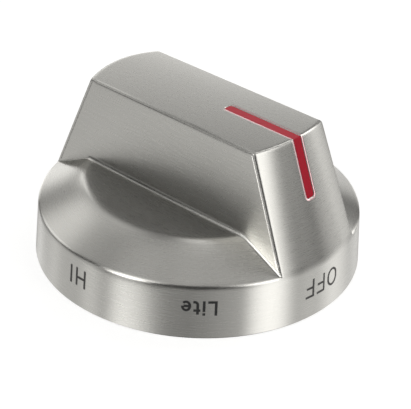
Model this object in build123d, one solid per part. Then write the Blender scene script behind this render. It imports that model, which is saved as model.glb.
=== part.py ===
from build123d import *
import math
import os

# Range control knob: a hollow metal casting with a bar grip, on a nylon hub for a D-shaped stem.
# Millimetres. The origin is the centre of the base, +Z runs up the stem's axis, and the
# pointer end of the grip is toward +X. Angles are in degrees.

# Skirt, the round wall at the base
rim_radius = 30.0            # upper edge of the skirt
skirt_height = 10.35
skirt_flare = 3.65           # the base is a little wider than the rim
skirt_blend = 6.0            # radius where the ends of the grip run into the skirt
base_edge_bevel = 0.3

# Bevelled band and flat plateau beside the grip
plateau_radius = 21.7
plateau_height = 14.65
plateau_edge_bevel = 0.3
root_radius = 0.35           # in the corner between the grip and the plateau

# Bar grip
grip_height = 31.35          # top of the crown above the base
grip_width = 20.1            # at the height of the rim
grip_draft = 2.4             # lean of each side
end_slope = 21.9             # lean of the conical ends
crown_radius = 85.0
shoulder_radius = 0.9
outline_edge_radius = 0.4    # along the rim and up and over both ends of the grip

# Casting
wall = 2.2
hollow_corner_radius = 1.0
boss_radius = 3.5
boss_height = 2.0

# Pointer groove, along the top and down one end of the grip
groove_width = 1.9
groove_depth = 0.9
groove_start = 5.6           # distance of its inner end from the axis
groove_end_height = 21.2     # height of its lower end above the base
groove_corner_radius = 0.6
groove_chamfer = 0.15
inlay_recess = 0.1
inlay_clearance = 0.03

# Hub, bored for a stem with one flat
stem_diameter = 8.0
stem_across_flat = 6.5
bore_clearance = 0.05
bore_depth = 17.0
bore_lead_in = 0.5
hub_wall = 2.5
hub_end_height = 1.0
slot_width = 1.2
slot_length = 6.0

# Nylon insert round the hub
flange_radius = 24.0
flange_thickness = 2.2
lip_thickness = 1.2
lip_depth = 2.0
key_length = 28.0
key_height = 9.5
key_clearance = 0.15
key_wall = 1.8
gusset_thickness = 1.5
gusset_depth = 2.4
gusset_angles = (45, 135, 225, 315)

# Open steel band round the slotted end of the hub
band_width = 3.0
band_thickness = 0.8
band_groove_depth = 0.6
band_end_offset = 1.0        # from the end of the hub
band_side_clearance = 0.1
band_opening = 2.6

# Screws that hold the insert in the casting
screw_spacing = 32.0
screw_diameter = 3.0
screw_length = 5.0
screw_head_diameter = 5.6
screw_head_height = 1.9
screw_hole_clearance = 0.3
pilot_clearance = 0.05
pilot_spare_depth = 0.3
cross_width = 0.7
cross_length = 2.8
cross_depth = 1.1

# Sizes worked out from those above
tan_flare = math.tan(math.radians(skirt_flare))
cos_flare = math.cos(math.radians(skirt_flare))
tan_end = math.tan(math.radians(end_slope))
cos_end = math.cos(math.radians(end_slope))
sin_end = math.sin(math.radians(end_slope))
tan_draft = math.tan(math.radians(grip_draft))
cos_draft = math.cos(math.radians(grip_draft))
tan_band = (plateau_height - skirt_height) / (rim_radius - plateau_radius)
cos_band = math.cos(math.atan(tan_band))
reach = 2 * (rim_radius + grip_height)   # longer than anything in the knob
over = 1.0                               # how far a cutting shape runs past what it cuts
edge_match = 0.1                         # how near an edge lies to where it is looked for
seat_height = plateau_height - wall - boss_height
flange_underside = seat_height - flange_thickness
key_top = seat_height + key_height
bore_radius = stem_diameter / 2 + bore_clearance
bore_flat = stem_across_flat - stem_diameter / 2 + bore_clearance
hub_radius = bore_radius + hub_wall
band_seat_radius = hub_radius - band_groove_depth
band_low = hub_end_height + band_end_offset
band_high = band_low + band_width
screw_places = (-screw_spacing / 2, screw_spacing / 2)


def turned(points, corner=None, radius=0.0):
    """Solid of revolution from (radius, height) points, with one corner rounded."""
    face = Plane.YZ * make_face(Polyline(*points, close=True))
    if corner is not None:
        face = fillet(face.vertices().sort_by_distance((0, *corner))[0], radius)
    return revolve(face, Axis.Z)


def across(points, plane, width):
    """Prism on a plane through the axis, with half its width on each side."""
    return extrude(plane * make_face(Polyline(*points, close=True)), width / 2, both=True)


def post(radius, low, high, x=0.0, y=0.0):
    """Upright cylinder between two heights."""
    return Pos(x, y, (low + high) / 2) * Cylinder(radius, high - low)


def block(x_size, y_size, low, high, x=0.0, y=0.0):
    """Upright block between two heights."""
    return Pos(x, y, (low + high) / 2) * Box(x_size, y_size, high - low)


def skirt_radius(height, inset=0.0):
    return rim_radius + (skirt_height - height) * tan_flare - inset / cos_flare


def end_radius(height, inset=0.0):
    return rim_radius - (height - skirt_height) * tan_end - inset / cos_end


def half_width(height, inset=0.0):
    return grip_width / 2 - (height - skirt_height) * tan_draft - inset / cos_draft


def turned_blank(inset, low):
    """Skirt and end cone, rounded where they meet, before the sides are cut back."""
    high = grip_height + over
    bend = skirt_height + inset * (1 / cos_flare - 1 / cos_end) / (tan_end - tan_flare)
    corner = (skirt_radius(bend, inset), bend)
    foot = (skirt_radius(low, inset), low)
    points = [(0, low), foot, corner, (end_radius(high, inset), high), (0, high)]
    return turned(points, corner, skirt_blend - inset)


def low_form(inset):
    """Everything below the bevelled band and the plateau."""
    top = plateau_height - inset
    corner = plateau_radius - inset * (1 / cos_band - 1) / tan_band
    foot = top - (reach - corner) * tan_band
    return turned([(0, foot - over), (reach, foot - over), (reach, foot), (corner, top), (0, top)])


def grip_bar(inset, corner_radius):
    """Long bar with the grip's section: drafted sides, crowned top, rounded shoulders."""
    low, high = -reach, grip_height + over
    left, right = half_width(low, inset), half_width(high, inset)
    sides = make_face(Polyline((-left, low), (left, low), (right, high), (-right, high), close=True))
    section = sides & Pos(0, grip_height - crown_radius) * Circle(crown_radius - inset)
    section = fillet(section.vertices().sort_by(Axis.Y)[-2:], corner_radius)
    return extrude(Plane.YZ * section, reach, both=True)


def knob_form(inset, low, corner_radius):
    """The knob's outside, or the same form set in by a wall for the hollow."""
    beside = Box(2 * reach, 2 * reach, 4 * reach) - grip_bar(inset, corner_radius) - low_form(inset)
    return turned_blank(inset, low) - beside


def near(value, target):
    return abs(value - target) < edge_match


def round_edges(form):
    """Bevels the plateau, rounds the roots and the one closed edge left, and bevels the base."""
    def pick(test):
        return [edge for edge in form.edges() if test(edge @ 0.5)]

    def on_plateau_edge(p):
        return near(p.Z, plateau_height) and near(math.hypot(p.X, p.Y), plateau_radius)

    def in_root(p):
        along_grip = near(abs(p.Y), half_width(p.Z)) and p.Z < plateau_height + edge_match
        return along_grip and skirt_height + skirt_blend * sin_end / 2 < p.Z

    def on_outline(p):
        on_cone = near(math.hypot(p.X, p.Y), end_radius(p.Z)) and p.Z > skirt_height
        return on_cone and not (near(p.Y, 0) and p.Z < plateau_height)

    form = chamfer(pick(on_plateau_edge), plateau_edge_bevel)
    form = fillet(pick(in_root), root_radius)
    form = fillet(pick(on_outline), outline_edge_radius)
    return chamfer(pick(lambda p: near(p.Z, 0)), base_edge_bevel)


def groove_foot(depth, gap=0.0):
    """Lower end of the pointer groove, some depth under the end of the grip, as (x, z)."""
    x = end_radius(groove_end_height) - gap * sin_end - depth * cos_end
    return x, groove_end_height + gap * cos_end - depth * sin_end


def pointer_bar(width, deep, shallow, gap):
    """Bent bar under the top and the end of the grip, between two depths below the surface."""
    def bend(depth):
        return end_radius(grip_height - depth, depth), grip_height - depth

    start = groove_start + gap
    points = [(start, grip_height - deep), bend(deep), groove_foot(deep, gap)]
    points += [groove_foot(shallow, gap), bend(shallow), (start, grip_height - shallow)]
    bar = across(points, Plane.XZ, width)
    into_end = Axis((0, 0, 0), (cos_end, 0, sin_end))
    corners = bar.edges().filter_by(Axis.Z) + bar.edges().filter_by(into_end)
    return fillet(corners, groove_corner_radius - gap)


def mouth_bevel(plane, length):
    """Widening mouth along one leg of the groove, from its closed end at the plane's origin."""
    side = groove_width / 2
    outline = make_face(Polyline((0, -side), (length, -side), (length, side), (0, side), close=True))
    outline = fillet(outline.vertices().sort_by(Axis.X)[:2], groove_corner_radius)
    return extrude(plane * outline, groove_chamfer + over, taper=-45)


def cut_groove(shell):
    """Cuts the pointer's groove and bevels its mouth on the top and on the end."""
    shell -= pointer_bar(groove_width, groove_depth, -over, 0.0)
    top = Plane((groove_start, 0, grip_height - groove_chamfer))
    shell -= mouth_bevel(top, end_radius(grip_height) - groove_start)
    foot_x, foot_z = groove_foot(groove_chamfer)
    end = Plane((foot_x, 0, foot_z), x_dir=(-sin_end, 0, cos_end), z_dir=(cos_end, 0, sin_end))
    return shell - mouth_bevel(end, (grip_height - groove_end_height) / cos_end)


def make_shell():
    shell = round_edges(knob_form(0.0, 0.0, shoulder_radius))
    shell -= knob_form(wall, -over, hollow_corner_radius)
    for y in screw_places:
        shell += post(boss_radius, seat_height, plateau_height - wall / 2, y=y)
    pilot_radius = screw_diameter / 2 + pilot_clearance
    pilot_top = flange_underside + screw_length + pilot_spare_depth
    for y in screw_places:
        shell -= post(pilot_radius, seat_height - over, pilot_top, y=y)
    return cut_groove(shell)


def make_inlay():
    return pointer_bar(groove_width - 2 * inlay_clearance, groove_depth, inlay_recess, inlay_clearance)


def make_insert():
    """Flange with its lip and gussets, hollow key, and the bored and slotted hub."""
    insert = post(flange_radius, flange_underside - lip_depth, seat_height)
    insert -= post(flange_radius - lip_thickness, flange_underside - lip_depth - over, flange_underside)
    insert += key(key_length, wall + key_clearance, seat_height, key_top)
    insert -= key(key_length - 2 * key_wall, wall + key_clearance + key_wall,
                  flange_underside - over, key_top - key_wall)
    insert += post(hub_radius, hub_end_height, key_top)
    for angle in gusset_angles:
        insert += Rot(0, 0, angle) * gusset()
    insert -= stem_bore()
    insert -= block(slot_width, 3 * hub_radius, hub_end_height - over, hub_end_height + slot_length)
    insert -= band_groove()
    hole_radius = screw_diameter / 2 + screw_hole_clearance
    for y in screw_places:
        insert -= post(hole_radius, flange_underside - over, seat_height + over, y=y)
    return insert


def key(length, inset, low, high):
    """Block that follows the hollow of the grip, set in from its outside."""
    return block(length, reach, low, high) & grip_bar(inset, hollow_corner_radius)


def band_groove():
    """Ring cut into the hub where the band sits."""
    low, high = band_low - band_side_clearance, band_high + band_side_clearance
    return post(hub_radius + over, low, high) - post(band_seat_radius, low, high)


def gusset():
    """Thin rib under the flange, from the hub out to the lip."""
    start, end = hub_radius - hub_wall / 2, flange_radius - lip_thickness / 2
    low_start, low_end = flange_underside - gusset_depth, flange_underside - lip_depth
    points = [(start, flange_underside), (start, low_start), (hub_radius, low_start), (end, low_end)]
    return across(points + [(end, flange_underside)], Plane.XZ, gusset_thickness)


def stem_bore():
    """Blind D-shaped bore, with its flat toward the pointer and a lead-in at its mouth."""
    bore = post(bore_radius, hub_end_height - over, hub_end_height + bore_depth)
    bore -= block(reach, reach, -reach, reach, x=bore_flat + reach / 2)
    mouth = Cone(bore_radius + bore_lead_in, bore_radius, bore_lead_in)
    return bore + Pos(0, 0, hub_end_height + bore_lead_in / 2) * mouth


def make_band():
    ring = post(band_seat_radius + band_thickness, band_low, band_high)
    ring -= post(band_seat_radius, band_low - over, band_high + over)
    return ring - block(reach, band_opening, -reach, reach, x=-reach / 2)


def make_screws():
    head_low = flange_underside - screw_head_height
    head = post(screw_head_diameter / 2, head_low, flange_underside)
    for x_size, y_size in ((cross_length, cross_width), (cross_width, cross_length)):
        head -= block(x_size, y_size, head_low - over, head_low + cross_depth)
    shank = post(screw_diameter / 2, flange_underside, flange_underside + screw_length)
    screw = (head + shank).solid()
    return Compound(children=[Pos(0, y, 0) * screw for y in screw_places])


pieces = {
    "knob_shell": make_shell,
    "pointer_inlay": make_inlay,
    "hub_insert": make_insert,
    "stem_band": make_band,
    "insert_screws": make_screws,
}

os.makedirs("parts", exist_ok=True)
for name, make in pieces.items():
    export_step(make(), f"parts/{name}.step")
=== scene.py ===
# Looks of a brushed metal range control knob: finishes, printed marks, studio light and camera.
# Metres and degrees, in the part's own frame: +Z up the stem's axis, pointer end toward +X.
import math

import bpy
import numpy as np
from mathutils import Matrix, Vector


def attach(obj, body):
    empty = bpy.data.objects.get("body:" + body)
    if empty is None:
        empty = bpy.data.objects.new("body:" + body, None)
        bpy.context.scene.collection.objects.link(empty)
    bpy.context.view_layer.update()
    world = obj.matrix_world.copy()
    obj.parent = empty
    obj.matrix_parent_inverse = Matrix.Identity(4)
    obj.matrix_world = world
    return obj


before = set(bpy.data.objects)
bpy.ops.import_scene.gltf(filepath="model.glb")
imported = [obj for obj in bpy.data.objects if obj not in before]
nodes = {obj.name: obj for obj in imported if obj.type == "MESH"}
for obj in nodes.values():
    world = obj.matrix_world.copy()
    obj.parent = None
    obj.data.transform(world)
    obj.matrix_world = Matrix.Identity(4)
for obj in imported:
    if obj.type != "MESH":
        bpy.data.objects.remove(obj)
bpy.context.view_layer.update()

MM = 0.001

# Outside of the knob, in millimetres and degrees, for exact shading normals
RIM_RADIUS = 30.0
SKIRT_HEIGHT = 10.35
SKIRT_FLARE = 3.65
SKIRT_BLEND = 6.0
PLATEAU_RADIUS = 21.7
PLATEAU_HEIGHT = 14.65
GRIP_HEIGHT = 31.35
GRIP_WIDTH = 20.1
GRIP_DRAFT = 2.4
END_SLOPE = 21.9
CROWN_RADIUS = 85.0

# Camera, as fitted to the photograph, which is taken as 411 x 409 pixels
IMAGE_WIDTH = 411
FOCAL_PIXELS = 1359.96
SENSOR_WIDTH = 36.0
CAMERA_AZIMUTH = 40.98       # of its right-hand side, from +X
CAMERA_ELEVATION = 30.80
CAMERA_ROLL = 2.733
CAMERA_DISTANCE = 0.2548     # from the middle of the rim
CAMERA_RIGHT = 0.0012        # and how far that is moved sideways and up
CAMERA_UP = -0.001374


def direction(azimuth, elevation):
    """Unit vector toward a compass direction, counted from +X about +Z, and a height."""
    a, e = math.radians(azimuth), math.radians(elevation)
    return Vector((math.cos(a) * math.cos(e), math.sin(a) * math.cos(e), math.sin(e)))


# Exact normals

ON_SURFACE = 0.02            # how far a vertex may lie off a surface, millimetres
FACES_ALIKE = 0.985          # cosine between a triangle and the surface that it belongs to
SAME_PLACE = 0.002           # vertices nearer than this are one corner, millimetres
BLEND_ANGLE = 40.0           # triangles that meet at less than this are shaded as one surface
BLEND_SLACK = 1.0            # by which the blend's torus runs past its ends, degrees
TINY = 1e-12                 # keeps a division from zero


def turned_surface(slope_z, slope_r, radius, height):
    """Cone through (radius, height) whose normal has these parts along Z and outward."""
    length = math.hypot(slope_z, slope_r)
    nz, nr = slope_z / length, slope_r / length

    def measure(p):
        r = np.hypot(p[:, 0], p[:, 1])
        away = (r - radius) * nr + (p[:, 2] - height) * nz
        safe = np.maximum(r, TINY)
        normal = np.stack([p[:, 0] / safe * nr, p[:, 1] / safe * nr, np.full(len(p), nz)], 1)
        return away, normal
    return measure


def flat_surface(normal, point):
    """Plane through a point."""
    n, q = np.array(normal, float), np.array(point, float)
    n = n / np.linalg.norm(n)

    def measure(p):
        return (p - q) @ n, np.tile(n, (len(p), 1))
    return measure


def crown_surface(p):
    """Top of the grip: a cylinder along X."""
    centre = np.array([0.0, GRIP_HEIGHT - CROWN_RADIUS])
    v = p[:, 1:] - centre
    d = np.linalg.norm(v, axis=1)
    return d - CROWN_RADIUS, np.stack([np.zeros(len(p)), v[:, 0] / d, v[:, 1] / d], 1)


def blend_surface(p):
    """Torus that joins the skirt to the ends of the grip. Elsewhere nothing lies on it."""
    a, b = math.radians(SKIRT_FLARE), math.radians(END_SLOPE)
    half = (b - a) / 2
    out = SKIRT_BLEND / math.cos(half)
    middle = (a + b) / 2
    centre_r, centre_z = RIM_RADIUS - out * math.cos(middle), SKIRT_HEIGHT - out * math.sin(middle)
    r = np.hypot(p[:, 0], p[:, 1])
    dr, dz = r - centre_r, p[:, 2] - centre_z
    d = np.hypot(dr, dz)
    safe = np.maximum(r, TINY)
    normal = np.stack([p[:, 0] / safe * dr / d, p[:, 1] / safe * dr / d, dz / d], 1)
    lean = np.degrees(np.arctan2(dz, dr))
    inside = (lean > SKIRT_FLARE - BLEND_SLACK) & (lean < END_SLOPE + BLEND_SLACK)
    return np.where(inside, d - SKIRT_BLEND, 1.0), normal


def outside_surfaces():
    """The faces of the outside of the knob."""
    flare, end, draft = (math.radians(v) for v in (SKIRT_FLARE, END_SLOPE, GRIP_DRAFT))
    band = (PLATEAU_HEIGHT - SKIRT_HEIGHT) / (RIM_RADIUS - PLATEAU_RADIUS)
    side = (math.cos(draft), math.sin(draft))
    return [
        turned_surface(math.sin(flare), math.cos(flare), RIM_RADIUS, SKIRT_HEIGHT),
        turned_surface(math.sin(end), math.cos(end), RIM_RADIUS, SKIRT_HEIGHT),
        turned_surface(1.0, band, PLATEAU_RADIUS, PLATEAU_HEIGHT),
        flat_surface((0, 0, 1), (0, 0, PLATEAU_HEIGHT)),
        flat_surface((0, side[0], side[1]), (0, GRIP_WIDTH / 2, SKIRT_HEIGHT)),
        flat_surface((0, -side[0], side[1]), (0, -GRIP_WIDTH / 2, SKIRT_HEIGHT)),
        crown_surface,
        blend_surface,
    ]


def smooth_normals(obj, surfaces):
    """Gives a mesh exact normals on known surfaces, and smooth ones in between."""
    mesh = obj.data
    count = len(mesh.polygons)
    corners = np.zeros(len(mesh.loops), int)
    mesh.loops.foreach_get("vertex_index", corners)
    points = np.zeros(len(mesh.vertices) * 3)
    mesh.vertices.foreach_get("co", points)
    points = points.reshape(-1, 3) / MM
    corners = corners.reshape(count, 3)
    tri = points[corners]
    cross = np.cross(tri[:, 1] - tri[:, 0], tri[:, 2] - tri[:, 0])
    area = np.linalg.norm(cross, axis=1)
    facet = cross / np.maximum(area, TINY)[:, None]
    normals = np.repeat(facet[:, None, :], 3, axis=1)
    known = np.zeros(count, bool)
    for surface in surfaces:
        away, exact = surface(tri.reshape(-1, 3))
        away, exact = away.reshape(count, 3), exact.reshape(count, 3, 3)
        agree = np.einsum("ijk,ik->ij", exact, facet)
        hit = (np.abs(away).max(1) < ON_SURFACE) & (agree.min(1) > FACES_ALIKE) & ~known
        normals[hit] = exact[hit]
        known |= hit

    # between known surfaces: the nearest known neighbour's normal, or else the mean of what is near
    keys = np.round(points / SAME_PLACE).astype(np.int64)
    _, place = np.unique(keys, axis=0, return_inverse=True)
    place = place.reshape(-1)[corners]
    limit = math.cos(math.radians(BLEND_ANGLE))
    around = {}
    for f in range(count):
        for c in range(3):
            around.setdefault(place[f, c], []).append((f, c))
    for f in np.nonzero(~known)[0]:
        for c in range(3):
            near = [(g, d) for g, d in around[place[f, c]] if facet[g] @ facet[f] > limit]
            exact = [normals[g, d] for g, d in near if known[g]]
            if exact:
                normals[f, c] = max(exact, key=lambda n: n @ facet[f])
            else:
                total = sum(area[g] * facet[g] for g, d in near)
                normals[f, c] = total / max(np.linalg.norm(total), TINY)
    mesh.polygons.foreach_set("use_smooth", np.ones(count, bool))
    mesh.normals_split_custom_set(normals.reshape(-1, 3).tolist())
    mesh.update()


# Node helpers

class Nodes:
    """Small helper that adds shader nodes and links them.

    Sockets of a Mix node go by number, because those of its other kinds share their names.
    """

    def __init__(self, tree):
        self.tree = tree
        tree.nodes.clear()

    def add(self, kind, inputs=None, **settings):
        node = self.tree.nodes.new(kind)
        for name, value in settings.items():
            setattr(node, name, value)
        for key, value in (inputs or {}).items():
            self.put(node.inputs[key], value)
        return node

    def put(self, socket, value):
        if isinstance(value, bpy.types.NodeSocket):
            self.tree.links.new(value, socket)
        elif isinstance(value, bpy.types.Node):
            self.tree.links.new(value.outputs[0], socket)
        else:
            socket.default_value = value

    def math(self, operation, *values):
        node = self.add("ShaderNodeMath", operation=operation)
        for socket, value in zip(node.inputs, values):
            self.put(socket, value)
        return node.outputs[0]

    def vector(self, operation, *values):
        node = self.add("ShaderNodeVectorMath", operation=operation)
        for socket, value in zip(node.inputs, values):
            self.put(socket, value)
        return node.outputs["Value" if operation == "DOT_PRODUCT" else "Vector"]

    def combine(self, x, y, z):
        return self.add("ShaderNodeCombineXYZ", {"X": x, "Y": y, "Z": z}).outputs[0]

    def ramp(self, value, low, high, to_low=0.0, to_high=1.0, smooth=True):
        kind = "SMOOTHSTEP" if smooth else "LINEAR"
        node = self.add("ShaderNodeMapRange", interpolation_type=kind)
        for name, number in (("Value", value), ("From Min", low), ("From Max", high),
                             ("To Min", to_low), ("To Max", to_high)):
            self.put(node.inputs[name], number)
        return node.outputs["Result"]

    def noise(self, vector, scale, detail=2.0, roughness=0.5):
        inputs = {"Vector": vector, "Scale": scale, "Detail": detail, "Roughness": roughness}
        return self.add("ShaderNodeTexNoise", inputs).outputs[0]

    def mix(self, factor, a, b):
        node = self.add("ShaderNodeMix", data_type="VECTOR")
        self.put(node.inputs["Factor"], factor)
        self.put(node.inputs[4], a)
        self.put(node.inputs[5], b)
        return node.outputs[1]

    def mix_color(self, factor, a, b):
        node = self.add("ShaderNodeMix", data_type="RGBA")
        self.put(node.inputs["Factor"], factor)
        self.put(node.inputs[6], a)
        self.put(node.inputs[7], b)
        return node.outputs[2]


def new_material(name):
    material = bpy.data.materials.new(name)
    material.use_nodes = True
    return material, Nodes(material.node_tree)


def dress(obj, material):
    obj.data.materials.clear()
    obj.data.materials.append(material)


# Materials

METAL_COLOR = (0.64, 0.632, 0.600)
METAL_ROUGHNESS = 0.24
METAL_ANISOTROPY = 0.87
PLAIN_TONE = 0.935           # of the metal's colour, before lines and clouds lighten it
LINE_TONES = (0.05, 0.04, 0.04)  # how much coarse lines, fine lines and clouds lighten it
LINE_SCALE = 3.0             # brush lines per millimetre, and per radian round the axis
LINE_REACH = 0.12            # the same along straight ones
FINE_SCALE = 3.5             # how much finer the second layer of lines is
FINE_ROUGHNESS = 0.08        # what that layer adds to the roughness
CLOUD_SCALE = 0.12           # clouds per millimetre
LINE_WOBBLE = (0.018, 0.011)  # how far round and straight lines turn the normal their way

# Worn edges of the metal, and highlights painted into its colour, in millimetres. A distance from a
# face is below zero inside the metal.
GRIP_WEAR = 0.14             # softness of the grip's edges
LONG_EDGE_WEAR = (0.30, 0.06)  # of its long edges: top's normal over side, side's over top
LONG_EDGE_TURN = 0.5         # share of the top's normal there
LONG_EDGE_END = (-1.6, -0.6)  # where they give way to the ends' edges, from the end face
END_TURN = 0.95              # half the height over which the end bends into the skirt
PLATEAU_WEAR = (0.48, 0.28)  # of the plateau's edge, on the band and on the plateau
RIM_WEAR = 0.14              # of the rim of the skirt
RUBBED_EDGE = (-0.60, -0.20)  # where the plateau's edge is smooth, by both faces' distances
RUBBED_ROUGHNESS = 0.19
PAINTED_RIM_HIGHLIGHT = (-0.45, -0.12)  # where a highlight is painted along the rim, likewise
PAINTED_FOOT_HIGHLIGHT = (0.8, 3.4)   # how far above the band a highlight is painted on the foot of the grip
FOOT_START = (19.3, 21.3)    # and where that begins along it
PAINTED_HIGHLIGHT_GAIN = 1.40                # how much brighter the metal's colour is painted in those highlights
RIDGE = (0.62, 0.50, 0.38)   # start, crest and end of the ridge beside an upright edge
RIDGE_LEAN = (0.30, 0.55)    # how far it leans toward the end and up
ROOT_WEAR = (0.70, 0.48)     # reach of the rubbed corner beside the grip: plateau, band
ROOT_TURN = (-0.2, 0.8)      # from the plateau's edge, where one gives way to the other
ROOT_FADE = (-20.2, -19.2)   # where that corner shrinks at the blunt end of the grip
ROOT_END_SHARE = 0.1         # and to what share of its reach
MOUTH_ROUNDING = 0.46        # width of the worn edge round the pointer's groove, and of the pink highlight painted beside it
MOUTH_TURN = 0.42            # tangent of its steepest lean
# pinkish painted highlight along the edge of the pointer's groove
MOUTH_HIGHLIGHT_COLOR = (1.0, 0.62, 0.65)
MOUTH_PLAIN = (0.15, 0.75)   # from the closed end on top, where that edge and its painted highlight start

# How far from a face a point still counts as on it
GRIP_SKIN = (-0.13, 0.17)    # grip: middle and half depth of the layer
LOW_SKIN = (-0.05, 0.09)     # the same for skirt, band and plateau
RIDGE_SKIN = 0.05
FOOT_SKIN = 0.1
ROOT_SKIN = -0.06
BESIDE_GRIP = 0.37           # the low edges are worn from here outward of the grip's sides
LOWEST = {"rim": -3.0, "ridge": 1.0, "root": 0.1, "foot": 0.05}  # where wear starts, and where the foot's painted highlight starts, from the rim

# Which face a point is on: the cosine between its normal and an axis, and its height
SIDE_FACING = 0.985
TOP_FACING = 0.96
END_FACING = 0.8
SIDE_FOOT = 0.6              # the grip's sides start so far above the rim
END_FOOT = 3.0               # and the part of its end that can hold the pointer so far
CROWN_DEPTH = 1.0            # its top goes down no further than this

# Mouth of the pointer's groove, with its bevel
MOUTH_HALF_WIDTH = 1.10
MOUTH_START = 5.45
MOUTH_END_HEIGHT = 21.06
MOUTH_CORNER = 0.70
MOUTH_SLACK = 0.02           # beyond its half width, within which walls keep their normal


def scaled(n, vector, factor):
    """A vector times a number."""
    out = n.vector("SCALE", vector)
    n.put(out.node.inputs["Scale"], factor)
    return out


def all_of(n, *tests):
    """One where every test is one."""
    out = tests[0]
    for test in tests[1:]:
        out = n.math("MULTIPLY", out, test)
    return out


def worn_sum(n, faces):
    """Normal of an edge worn round: the faces' normals, each weighed by how near its face is."""
    total = None
    for away, normal, wear in faces:
        below = n.math("MINIMUM", away, 0.0)
        part = scaled(n, normal, n.math("EXPONENT", n.math("DIVIDE", below, wear)))
        total = part if total is None else n.vector("ADD", total, part)
    return n.vector("NORMALIZE", total)


def lean_out(n, radial, lean):
    """Normal of a turned face that leans up from level by an angle in radians."""
    return n.vector("ADD", scaled(n, radial, n.math("COSINE", lean)),
                    n.combine(0.0, 0.0, n.math("SINE", lean)))


class Faces:
    """How far a point is from each of the casting's faces, and the normals of those faces."""

    def __init__(self, n, radius, radial, y, z):
        end, draft, flare = (math.radians(v) for v in (END_SLOPE, GRIP_DRAFT, SKIRT_FLARE))
        band = math.atan((PLATEAU_HEIGHT - SKIRT_HEIGHT) / (RIM_RADIUS - PLATEAU_RADIUS))
        self.rise = n.math("SUBTRACT", z, SKIRT_HEIGHT)

        def steep(across, edge, slope):
            """For a face that leans in from upright and passes the edge at the rim's height."""
            level = n.math("SUBTRACT", across, edge)
            inward = n.math("MULTIPLY", self.rise, math.tan(slope))
            return n.math("MULTIPLY", n.math("ADD", level, inward), math.cos(slope))

        self.side = steep(n.math("ABSOLUTE", y), GRIP_WIDTH / 2, draft)
        self.end = steep(radius, RIM_RADIUS, end)
        self.skirt = steep(radius, RIM_RADIUS, flare)
        fall = n.math("MULTIPLY", n.math("MULTIPLY", y, y), 0.5 / CROWN_RADIUS)
        self.top = n.math("ADD", n.math("SUBTRACT", z, GRIP_HEIGHT), fall)
        outward = n.math("MULTIPLY", n.math("SUBTRACT", radius, RIM_RADIUS), math.sin(band))
        self.band = n.math("ADD", outward, n.math("MULTIPLY", self.rise, math.cos(band)))
        self.plateau = n.math("SUBTRACT", z, PLATEAU_HEIGHT)

        sideways = n.math("MULTIPLY", n.math("SIGN", y), math.cos(draft))
        self.side_out = n.combine(0.0, sideways, math.sin(draft))
        turn = (SKIRT_HEIGHT - END_TURN, SKIRT_HEIGHT + END_TURN)
        self.end_out = lean_out(n, radial, n.ramp(z, *turn, flare, end, smooth=False))
        self.top_out = n.combine(0.0, n.math("DIVIDE", y, CROWN_RADIUS), 1.0)
        self.band_out = lean_out(n, radial, math.pi / 2 - band)
        self.skirt_out = lean_out(n, radial, flare)


def worn_grip(n, faces):
    """Normal at the grip's edges, and where it counts."""
    top_reach, side_reach = (n.ramp(faces.end, *LONG_EDGE_END, wear, GRIP_WEAR)
                             for wear in LONG_EDGE_WEAR)
    share = n.ramp(faces.end, *LONG_EDGE_END, LONG_EDGE_TURN, 1.0)
    normal = worn_sum(n, [(faces.side, faces.side_out, side_reach),
                          (faces.end, faces.end_out, GRIP_WEAR),
                          (faces.top, scaled(n, faces.top_out, share), top_reach)])
    away = n.math("MAXIMUM", n.math("MAXIMUM", faces.side, faces.end), faces.top)
    here = all_of(n, n.math("COMPARE", away, *GRIP_SKIN), n.math("GREATER_THAN", faces.rise, 0.0))
    return normal, here


def worn_low(n, faces):
    """Normal at the edges of skirt, band and plateau, how far these are, and where it counts."""
    normal = worn_sum(n, [(faces.plateau, (0.0, 0.0, 1.0), PLATEAU_WEAR[0]),
                          (faces.band, faces.band_out, PLATEAU_WEAR[1]),
                          (faces.skirt, faces.skirt_out, RIM_WEAR)])
    away = n.math("MAXIMUM", n.math("MAXIMUM", faces.plateau, faces.band), faces.skirt)
    here = all_of(n, n.math("COMPARE", away, *LOW_SKIN),
                  n.math("GREATER_THAN", faces.rise, LOWEST["rim"]),
                  n.math("GREATER_THAN", faces.side, BESIDE_GRIP))
    return normal, away, here


def ridge_lean(n, faces, x):
    """What the fine ridge beside the grip's upright edges adds to the normal."""
    start, crest, stop = RIDGE
    toward, up = RIDGE_LEAN
    height = all_of(n, n.ramp(faces.end, -start, -crest),
                    n.ramp(faces.end, -crest, -stop, 1.0, 0.0),
                    n.math("COMPARE", faces.side, 0.0, RIDGE_SKIN),
                    n.math("GREATER_THAN", faces.rise, LOWEST["ridge"]))
    lean = n.combine(n.math("MULTIPLY", n.math("SIGN", x), toward), 0.0, up)
    return scaled(n, lean, height)


def worn_root(n, faces, low_out, low_away, radius, x):
    """Normal in the rubbed corner beside the grip, and where it counts."""
    reach = n.ramp(radius, *(PLATEAU_RADIUS + turn for turn in ROOT_TURN), *ROOT_WEAR)
    reach = n.math("MULTIPLY", reach, n.ramp(x, *ROOT_FADE, ROOT_END_SHARE, 1.0))
    from_side, from_low = (
        n.math("MAXIMUM", n.math("SUBTRACT", reach, n.math("MAXIMUM", away, 0.0)), 0.0)
        for away in (faces.side, low_away))
    total = n.vector("ADD", scaled(n, faces.side_out, from_side), scaled(n, low_out, from_low))
    nearer = n.math("MINIMUM", faces.side, low_away)
    farther = n.math("MAXIMUM", faces.side, low_away)
    here = all_of(n, n.math("GREATER_THAN", nearer, ROOT_SKIN), n.math("LESS_THAN", farther, reach),
                  n.math("GREATER_THAN", faces.rise, LOWEST["root"]),
                  n.math("LESS_THAN", faces.end, 0.0))
    return n.vector("NORMALIZE", total), here


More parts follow.
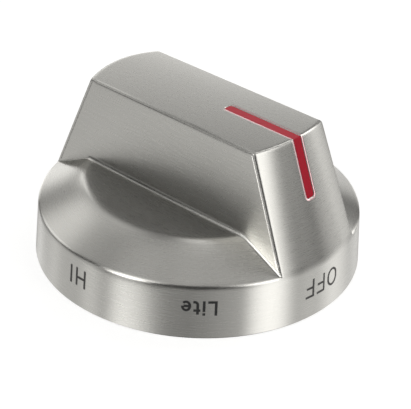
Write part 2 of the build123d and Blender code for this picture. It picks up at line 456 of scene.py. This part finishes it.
def worn_edges(n, normal, radius, radial, x, y, z):
    """The casting's normal with worn edges, where it is rubbed smooth, and where highlights are
    painted into its colour.
    """
    faces = Faces(n, radius, radial, y, z)
    grip_out, on_grip = worn_grip(n, faces)
    low_out, low_away, on_low = worn_low(n, faces)
    root_out, in_root = worn_root(n, faces, low_out, low_away, radius, x)
    worn = n.mix(on_low, n.mix(on_grip, normal, grip_out), low_out)
    worn = n.vector("ADD", worn, ridge_lean(n, faces, x))

    rubbed = all_of(n, n.ramp(n.math("ADD", faces.plateau, faces.band), *RUBBED_EDGE), on_low)
    # painted highlights: a brighter line along the rim, and a glow on the grip's side at its foot
    # near the pointer end
    rim = all_of(n, n.ramp(n.math("ADD", faces.skirt, faces.band), *PAINTED_RIM_HIGHLIGHT), on_low)
    foot = all_of(n, n.ramp(low_away, *PAINTED_FOOT_HIGHLIGHT, 1.0, 0.0), n.ramp(x, *FOOT_START),
                  n.math("COMPARE", faces.side, 0.0, FOOT_SKIN),
                  n.math("GREATER_THAN", faces.rise, LOWEST["foot"]))
    return n.mix(in_root, worn, root_out), rubbed, n.math("MAXIMUM", foot, rim)


def groove_mouth(n, normal, along, across, uphill):
    """The normal, leant into the pointer's groove beside its mouth, and how near the mouth is.

    along grows from the groove's closed end.
    """
    side = n.math("ADD", n.math("ABSOLUTE", across), MOUTH_CORNER - MOUTH_HALF_WIDTH)
    side = n.math("MAXIMUM", side, 0.0)
    back = n.math("MAXIMUM", n.math("SUBTRACT", MOUTH_CORNER, along), 0.0)
    far = n.math("SQRT", n.math("ADD", n.math("MULTIPLY", side, side),
                                n.math("MULTIPLY", back, back)))
    lean = n.ramp(far, MOUTH_CORNER, MOUTH_CORNER + MOUTH_ROUNDING, MOUTH_TURN, 0.0)
    sideways = n.math("MULTIPLY", n.math("DIVIDE", side, far), n.math("SIGN", across))
    inward = n.vector("ADD", n.combine(0.0, n.math("MULTIPLY", sideways, -1.0), 0.0),
                      scaled(n, uphill, n.math("DIVIDE", back, far)))
    return n.vector("ADD", normal, scaled(n, inward, lean)), n.math("DIVIDE", lean, MOUTH_TURN)


def pointer_mouth(n, normal, worn, on_crown, on_end, x, y, z):
    """The worn normal with the mouth of the pointer's groove worn too, and where a pink highlight
    is painted beside that mouth.
    """
    end = math.radians(END_SLOPE)
    half_width = MOUTH_HALF_WIDTH + MOUTH_SLACK
    in_groove = all_of(n, n.math("LESS_THAN", n.math("ABSOLUTE", y), half_width),
                       n.math("GREATER_THAN", x, MOUTH_START),
                       n.math("GREATER_THAN", z, MOUTH_END_HEIGHT))
    worn = n.mix(in_groove, worn, normal)
    along = n.math("SUBTRACT", x, MOUTH_START)
    top_mouth, top_near = groove_mouth(n, worn, along, y, (1.0, 0.0, 0.0))
    climb = n.math("DIVIDE", n.math("SUBTRACT", z, MOUTH_END_HEIGHT), math.cos(end))
    end_mouth, end_near = groove_mouth(n, worn, climb, y, (-math.sin(end), 0.0, math.cos(end)))
    on_top = all_of(n, on_crown, n.ramp(along, *MOUTH_PLAIN))
    worn = n.mix(on_end, n.mix(on_top, worn, top_mouth), end_mouth)
    return worn, n.math("MAXIMUM", all_of(n, on_top, top_near), all_of(n, on_end, end_near))


def brushed_metal():
    """Satin metal, brushed round the turned faces and along the grip's own faces."""
    material, n = new_material("brushed_casting")
    place = n.add("ShaderNodeNewGeometry")
    position = scaled(n, place.outputs["Position"], 1 / MM)
    x, y, z = n.add("ShaderNodeSeparateXYZ", {"Vector": position}).outputs
    radius = n.math("SQRT", n.math("ADD", n.math("MULTIPLY", x, x), n.math("MULTIPLY", y, y)))
    angle = n.math("ARCTAN2", y, x)
    radial = n.combine(n.math("DIVIDE", x, radius), n.math("DIVIDE", y, radius), 0.0)
    normal = place.outputs["Normal"]
    nx, ny, nz = n.add("ShaderNodeSeparateXYZ", {"Vector": normal}).outputs

    # the grip's sides and top and the plateau are brushed along X, and all else round the axis
    on_side = all_of(n, n.math("GREATER_THAN", n.math("ABSOLUTE", ny), SIDE_FACING),
                     n.math("GREATER_THAN", z, SKIRT_HEIGHT + SIDE_FOOT))
    level = n.math("GREATER_THAN", nz, TOP_FACING)
    straight = n.math("MAXIMUM", on_side, level)
    groove = n.mix(straight, n.vector("CROSS_PRODUCT", (0.0, 0.0, 1.0), radial), (1.0, 0.0, 0.0))

    on_crown = all_of(n, n.math("GREATER_THAN", z, GRIP_HEIGHT - CROWN_DEPTH), level)
    on_end = all_of(n, n.math("GREATER_THAN", nx, END_FACING),
                    n.math("GREATER_THAN", z, SKIRT_HEIGHT + END_FOOT))
    worn, rubbed, painted_highlight = worn_edges(n, normal, radius, radial, x, y, z)
    worn, mouth_highlight = pointer_mouth(n, normal, worn, on_crown, on_end, x, y, z)

    # brush lines: noise that is stretched along them
    round_place = n.combine(*(n.math("MULTIPLY", v, LINE_SCALE) for v in (angle, radius, z)))
    straight_place = n.vector("MULTIPLY", position, (LINE_REACH, LINE_SCALE, LINE_SCALE))
    line_place = n.mix(straight, round_place, straight_place)
    lines = n.noise(line_place, 1.0, 2.0, 0.6)
    fine = n.noise(line_place, FINE_SCALE, 3.0, 0.6)
    cloud = n.noise(position, CLOUD_SCALE, 2.0)
    turn = n.math("MULTIPLY", n.math("SUBTRACT", lines, 0.5),
                  n.ramp(straight, 0.0, 1.0, *LINE_WOBBLE))
    brushed = n.vector("NORMALIZE", n.vector("ADD", worn, scaled(n, groove, turn)))
    tangent = n.vector("NORMALIZE", n.vector("CROSS_PRODUCT", brushed, groove))
    tone = PLAIN_TONE
    for layer, share in zip((lines, fine, cloud), LINE_TONES):
        tone = n.math("ADD", tone, n.math("MULTIPLY", layer, share))
    # painted highlights on the rim and the grip's foot: the colour is made brighter there
    tone = n.math("MULTIPLY", tone, n.ramp(painted_highlight, 0.0, 1.0, 1.0, PAINTED_HIGHLIGHT_GAIN, smooth=False))
    # painted pink highlight beside the pointer's groove
    color = n.mix(mouth_highlight, scaled(n, METAL_COLOR, tone), MOUTH_HIGHLIGHT_COLOR)
    roughness = n.math("ADD", n.ramp(rubbed, 0.0, 1.0, METAL_ROUGHNESS, RUBBED_ROUGHNESS),
                       n.math("MULTIPLY", fine, FINE_ROUGHNESS))
    bump = n.add("ShaderNodeBump", {
        "Strength": 0.15, "Distance": 0.02 * MM, "Height": fine, "Normal": brushed})
    shader = n.add("ShaderNodeBsdfPrincipled", {
        "Base Color": color,
        "Metallic": 1.0,
        "Roughness": roughness,
        "Anisotropic": METAL_ANISOTROPY,
        "Tangent": tangent,
        "Normal": bump,
    })
    n.add("ShaderNodeOutputMaterial", {"Surface": shader})
    return material


def red_enamel():
    material, n = new_material("red_inlay")
    place = n.add("ShaderNodeNewGeometry").outputs["Position"]
    mottle = n.noise(place, 900.0, 3.0)
    color = n.mix_color(mottle, (0.50, 0.002, 0.021, 1), (0.57, 0.003, 0.028, 1))
    bump = n.add("ShaderNodeBump", {"Strength": 0.15, "Distance": 0.02 * MM, "Height": mottle})
    shader = n.add("ShaderNodeBsdfPrincipled", {
        "Base Color": color, "Roughness": 0.33, "Specular IOR Level": 0.44, "Normal": bump})
    n.add("ShaderNodeOutputMaterial", {"Surface": shader})
    return material


def black_nylon():
    material, n = new_material("black_nylon")
    place = n.add("ShaderNodeNewGeometry").outputs["Position"]
    grain = n.noise(place, 3500.0, 3.0)
    cloud = n.noise(place, 120.0, 2.0)
    color = n.mix_color(cloud, (0.022, 0.022, 0.023, 1), (0.040, 0.040, 0.041, 1))
    roughness = n.math("ADD", 0.42, n.math("MULTIPLY", grain, 0.2))
    bump = n.add("ShaderNodeBump", {"Strength": 0.3, "Distance": 0.05 * MM, "Height": grain})
    shader = n.add("ShaderNodeBsdfPrincipled", {
        "Base Color": color, "Roughness": roughness, "Normal": bump})
    n.add("ShaderNodeOutputMaterial", {"Surface": shader})
    return material


def plain_steel(name, color, streak):
    """Rolled or plated steel with fine marks that run round the axis of the piece."""
    material, n = new_material(name)
    place = n.add("ShaderNodeNewGeometry").outputs["Position"]
    stretched = n.vector("MULTIPLY", place, streak)
    marks = n.noise(stretched, 1.0, 3.0)
    low, high = (tuple(c * f for c in color) + (1,) for f in (0.88, 1.08))
    shade = n.mix_color(marks, low, high)
    roughness = n.math("ADD", 0.22, n.math("MULTIPLY", marks, 0.2))
    bump = n.add("ShaderNodeBump", {"Strength": 0.2, "Distance": 0.02 * MM, "Height": marks})
    shader = n.add("ShaderNodeBsdfPrincipled", {
        "Base Color": shade, "Metallic": 1.0, "Roughness": roughness, "Normal": bump})
    n.add("ShaderNodeOutputMaterial", {"Surface": shader})
    return material


def printed_ink(name, color):
    material, n = new_material(name)
    place = n.add("ShaderNodeNewGeometry").outputs["Position"]
    speckle = n.noise(place, 2600.0, 3.0)
    low, high = (tuple(c * f for c in color) + (1,) for f in (0.8, 1.3))
    shade = n.mix_color(speckle, low, high)
    roughness = n.math("ADD", 0.4, n.math("MULTIPLY", speckle, 0.2))
    shader = n.add("ShaderNodeBsdfPrincipled", {"Base Color": shade, "Roughness": roughness})
    n.add("ShaderNodeOutputMaterial", {"Surface": shader})
    return material


# Marks on the skirt

MARK_LIFT = 0.015            # of the ink above the skirt, millimetres
MARK_STEP = 0.25             # longest piece of a stroke


def arc(cx, cy, rx, ry, start, end, steps=16):
    """Points of an ellipse's arc between two angles."""
    angles = [math.radians(start + (end - start) * i / steps) for i in range(steps + 1)]
    return [(cx + rx * math.cos(a), cy + ry * math.sin(a)) for a in angles]


def capital_o(width, height, ink):
    rx, ry = (width - ink) / 2, (height - ink) / 2
    flat = (height - width) / 2 * 0.55
    top = arc(width / 2, height / 2 + flat, rx, ry - flat, 0, 180)
    low = arc(width / 2, height / 2 - flat, rx, ry - flat, 180, 360)
    return [top + low[:-1] + [low[-1], top[0]]]


def capital_f(width, height, ink):
    half = ink / 2
    stem = [(half, 0), (half, height - half), (width, height - half)]
    bar = [(ink, height * 0.47), (width * 0.9, height * 0.47)]
    return [stem, bar]


def capital_h(width, height, ink):
    half = ink / 2
    left = [(half, 0), (half, height)]
    right = [(width - half, 0), (width - half, height)]
    return [left, right, [(ink, height * 0.52), (width - ink, height * 0.52)]]


def capital_i(width, height, ink):
    return [[(width / 2, 0), (width / 2, height)]]


def capital_l(width, height, ink):
    half = ink / 2
    return [[(half, height), (half, half), (width, half)]]


def small_i(width, height, ink):
    middle = width / 2
    low = height * 0.74
    return [[(middle, 0), (middle, low)], [(middle, height - ink), (middle, height)]]


def small_t(width, height, ink):
    half, bar = ink / 2, height * 0.74 - ink / 2
    x, bend = width * 0.38, ink * 1.1
    foot = arc(x + bend, half + bend, bend, bend, 180, 270, 6)
    stem = [(x, height * 0.93)] + foot + [(width, half)]
    return [stem, [(0, bar), (x - half, bar)], [(x + half, bar), (width * 0.95, bar)]]


def small_e(width, height, ink):
    rx, ry = (width - ink) / 2, (height - ink) / 2
    cx, cy = width / 2, height / 2
    bowl = arc(cx, cy, rx, ry, 0, 318, 24)
    return [[(ink, cy), (cx + rx - ink / 2, cy)], bowl]


# Each mark's letters: shape, angle of its left edge, width, height, width of its stroke, and
# height of its base above the floor. Angles fall as the text reads on.
CAP_BASE = 7.83
MARKS = [
    ("mark_off", "thin", [
        (capital_o, 6.82, 2.76, 3.6, 0.41, CAP_BASE),
        (capital_f, -0.08, 2.02, 3.6, 0.41, CAP_BASE),
        (capital_f, -5.28, 2.02, 3.6, 0.41, CAP_BASE),
    ]),
    ("mark_light", "bold", [
        (capital_l, -41.27, 1.62, 2.85, 0.47, 7.62),
        (small_i, -45.17, 0.47, 2.85, 0.47, 7.62),
        (small_t, -46.77, 1.25, 2.85, 0.47, 7.62),
        (small_e, -49.77, 1.75, 2.12, 0.45, 7.62),
    ]),
    ("mark_high", "thin", [
        (capital_h, -88.0, 2.42, 3.6, 0.44, 7.93),
        (capital_i, -94.6, 0.44, 3.6, 0.44, CAP_BASE),
    ]),
]


def skirt_point(angle, height, lift):
    radius = RIM_RADIUS + (SKIRT_HEIGHT - height) * math.tan(math.radians(SKIRT_FLARE)) + lift
    a = math.radians(angle)
    return Vector((radius * math.cos(a), radius * math.sin(a), height)) * MM


def divided(points):
    """The same polyline with no piece longer than a step, so that it can follow the skirt."""
    out = [Vector(points[0])]
    for p, q in zip(points, points[1:]):
        p, q = Vector(p), Vector(q)
        parts = max(1, math.ceil((q - p).length / MARK_STEP))
        out += [p.lerp(q, (i + 1) / parts) for i in range(parts)]
    return out


def ribbon(points, ink):
    """Left and right edges of a stroke, mitred at its corners."""
    points = divided(points)
    closed = (points[0] - points[-1]).length < 1e-6
    sides = []
    for i, p in enumerate(points):
        before = points[i - 1] if i else (points[-2] if closed else None)
        after = points[i + 1] if i + 1 < len(points) else (points[1] if closed else None)
        ways = [(p - before).normalized()] if before is not None else []
        ways += [(after - p).normalized()] if after is not None else []
        way = sum(ways, Vector((0, 0))).normalized()
        across = Vector((-way.y, way.x))
        wide = ink / 2 / max(0.5, across.dot(Vector((-ways[0].y, ways[0].x))))
        sides.append((p + across * wide, p - across * wide))
    return sides


def print_mark(name, letters, material):
    """One printed mark: thin strokes of ink on the skirt, with the tops of the letters down."""
    verts, faces = [], []
    per_degree = math.radians(1) * skirt_point(0, CAP_BASE, 0).x / MM
    for shape, start, width, height, ink, base in letters:
        for stroke in shape(width, height, ink):
            first = len(verts)
            sides = ribbon(stroke, ink)
            for left, right in sides:
                for p in (left, right):
                    verts.append(skirt_point(start - p.x / per_degree, base - p.y, MARK_LIFT))
            for i in range(len(sides) - 1):
                k = first + 2 * i
                faces.append((k, k + 1, k + 3, k + 2))
    mesh = bpy.data.meshes.new(name)
    mesh.from_pydata(verts, [], faces)
    mesh.polygons.foreach_set("use_smooth", [True] * len(faces))
    obj = bpy.data.objects.new(name, mesh)
    bpy.context.scene.collection.objects.link(obj)
    dress(obj, material)
    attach(obj, "root")


# Stage, light and camera

FLOOR_SIZE = 3.0
FLOOR_SEEN = 0.80            # what the floor shows to the camera by itself
FLOOR_COLOR = (0.40, 0.40, 0.39)

# Name, azimuth, elevation, how far from its middle its soft edge starts and ends, and level.
# Those below the floor's level are what a glossy table would mirror. Places and levels were
# rounded from least-squares fits to the grey levels of the photograph's metal, and
# then adjusted by comparing renders with it.
SOFT_LIGHTS = [
    ("right_box", 0, 0, 4, 18, 1.1),
    ("right_box_top", 4, 26, 8, 24, 1.8),
    ("right_box_high", 0, 50, 6, 22, 0.7),
    ("right_table", 4, -26, 5, 20, 1.75),
    ("right_table_low", 0, -48, 6, 22, 0.5),
    ("rear_right_card", 34, 24, 4, 18, 1.15),
    ("rear_right_card_table", 34, -26, 3, 16, 0.6),
    ("rear_right_card_low", 54, 0, 3, 15, 0.4),
    ("rear_right_box", 70, 24, 4, 18, 3.25),
    ("rear_right_box_low", 76, 0, 5, 18, 0.9),
    ("rear_right_table", 62, -26, 4, 18, 1.0),
    ("rear_right_table_low", 48, -48, 14, 36, 0.5),
    ("rear_card", 98, 24, 4, 16, 0.3),
    ("rear_table", 96, -30, 4, 20, 0.9),
    ("rear_top", 90, 50, 5, 20, 1.6),
    ("rear_top_left", 116, 62, 3, 14, 1.15),
    ("rear_box_right", 110, 0, 3, 15, 1.0),
    ("rear_box", 130, 0, 4, 18, 1.9),
    ("rear_box_top", 136, 26, 5, 20, 0.64),
    ("rear_box_left", 156, 0, 3, 16, 1.5),
    ("rear_left_card", 147, 25, 2, 10, 1.0),
    ("rear_left_top", 164, 27, 5, 18, 0.4),
    ("rear_left_table", 158, -26, 3, 15, 0.64),
    ("rear_left_table_low", 168, -48, 6, 22, 1.3),
    ("far_left_top", 192, 25, 7, 22, 0.88),
    ("far_left_high", 176, 49, 6, 23, 0.66),
    ("far_left_table", 182, -24, 8, 22, 0.5),
    ("left_table", 217, -27, 12, 28, 0.65),
    ("left_card", 240, 0, 3, 15, 0.58),
    ("left_table_edge", 245, -34, 4, 20, 0.62),
    ("left_box", 265, 20, 3, 17, 3.9),
    ("left_box_high", 258, 48, 5, 20, 1.6),
    ("left_box_table", 264, -48, 4, 20, 3.4),
    ("front_table", 301, -24, 4, 18, 0.5),
    ("front_right_table", 332, -24, 10, 24, 0.54),
    ("high_rear", 108, 70, 6, 26, 0.26),
    ("high_left", 250, 70, 6, 26, 0.26),
    ("overhead", 0, 90, 6, 24, 0.35),
]
AMBIENT = 0.02


def make_floor():
    mesh = bpy.data.meshes.new("floor")
    s = FLOOR_SIZE / 2
    mesh.from_pydata([(-s, -s, 0), (s, -s, 0), (s, s, 0), (-s, s, 0)], [], [(0, 1, 2, 3)])
    floor = bpy.data.objects.new("floor", mesh)
    bpy.context.scene.collection.objects.link(floor)
    material, n = new_material("floor")
    path = n.add("ShaderNodeLightPath")
    plain = n.add("ShaderNodeBsdfDiffuse", {"Color": FLOOR_COLOR + (1,)})
    bright = n.add("ShaderNodeEmission", {"Color": (1, 1, 1, 1), "Strength": FLOOR_SEEN})
    both = n.add("ShaderNodeAddShader")
    n.put(both.inputs[0], plain)
    n.put(both.inputs[1], bright)
    mixed = n.add("ShaderNodeMixShader", {"Fac": path.outputs["Is Camera Ray"]})
    n.put(mixed.inputs[1], plain)
    n.put(mixed.inputs[2], both)
    # metal mirrors the studio below the floor's level too, as it would from a glossy table,
    # and from below the floor is out of the way
    under = n.add("ShaderNodeNewGeometry").outputs["Backfacing"]
    passes = n.math("MAXIMUM", path.outputs["Is Glossy Ray"], path.outputs["Is Shadow Ray"])
    passes = n.math("MAXIMUM", passes, under)
    clear = n.add("ShaderNodeMixShader", {"Fac": passes})
    n.put(clear.inputs[1], mixed)
    n.put(clear.inputs[2], n.add("ShaderNodeBsdfTransparent"))
    n.add("ShaderNodeOutputMaterial", {"Surface": clear})
    dress(floor, material)


def make_world():
    """White to the camera, and a studio of soft boxes to the object."""
    world = bpy.data.worlds.new("studio")
    bpy.context.scene.world = world
    world.use_nodes = True
    n = Nodes(world.node_tree)
    way = n.add("ShaderNodeTexCoord").outputs["Generated"]
    total = AMBIENT
    for name, azimuth, elevation, core, edge, level in SOFT_LIGHTS:
        near = n.vector("DOT_PRODUCT", way, tuple(direction(azimuth, elevation)))
        near.node.label = name
        glow = n.ramp(near, math.cos(math.radians(edge)), math.cos(math.radians(core)), 0.0, level)
        total = n.math("ADD", total, glow)
    studio = n.add("ShaderNodeBackground", {"Color": (1, 0.995, 0.985, 1), "Strength": total})
    white = n.add("ShaderNodeBackground", {"Color": (1, 1, 1, 1), "Strength": 1.0})
    path = n.add("ShaderNodeLightPath")
    mixed = n.add("ShaderNodeMixShader", {"Fac": path.outputs["Is Camera Ray"]})
    n.put(mixed.inputs[1], studio)
    n.put(mixed.inputs[2], white)
    n.add("ShaderNodeOutputWorld", {"Surface": mixed})


def make_camera():
    a, e, t = (math.radians(v) for v in (CAMERA_AZIMUTH, CAMERA_ELEVATION, CAMERA_ROLL))
    back = Vector((math.sin(a) * math.cos(e), -math.cos(a) * math.cos(e), math.sin(e)))
    right = Vector((math.cos(a), math.sin(a), 0))
    up = back.cross(right)
    rolled_right = math.cos(t) * right + math.sin(t) * up
    rolled_up = -math.sin(t) * right + math.cos(t) * up
    place = back * CAMERA_DISTANCE + right * CAMERA_RIGHT + up * CAMERA_UP
    place += Vector((0, 0, SKIRT_HEIGHT * MM))
    data = bpy.data.cameras.new("camera")
    data.sensor_fit = "HORIZONTAL"
    data.sensor_width = SENSOR_WIDTH
    data.lens = FOCAL_PIXELS / IMAGE_WIDTH * SENSOR_WIDTH
    data.clip_start = 0.01
    data.clip_end = 20.0
    camera = bpy.data.objects.new("camera", data)
    axes = Matrix((rolled_right, rolled_up, back)).transposed().to_4x4()
    camera.matrix_world = Matrix.Translation(place) @ axes
    bpy.context.scene.collection.objects.link(camera)
    bpy.context.scene.camera = camera


smooth_normals(nodes["knob_shell"], outside_surfaces())
for piece in ("pointer_inlay", "hub_insert", "stem_band", "insert_screws"):
    smooth_normals(nodes[piece], [])
dress(nodes["knob_shell"], brushed_metal())
dress(nodes["pointer_inlay"], red_enamel())
dress(nodes["hub_insert"], black_nylon())
dress(nodes["stem_band"], plain_steel("spring_steel", (0.50, 0.50, 0.51), (300, 300, 3000)))
dress(nodes["insert_screws"], plain_steel("screw_steel", (0.58, 0.58, 0.57), (900, 900, 900)))
inks = {"thin": printed_ink("grey_ink", (0.050, 0.048, 0.046)),
        "bold": printed_ink("black_ink", (0.020, 0.020, 0.020))}
for mark, ink, letters in MARKS:
    print_mark(mark, letters, inks[ink])

make_floor()
make_world()
make_camera()

view = bpy.context.scene.view_settings
view.view_transform = "Standard"
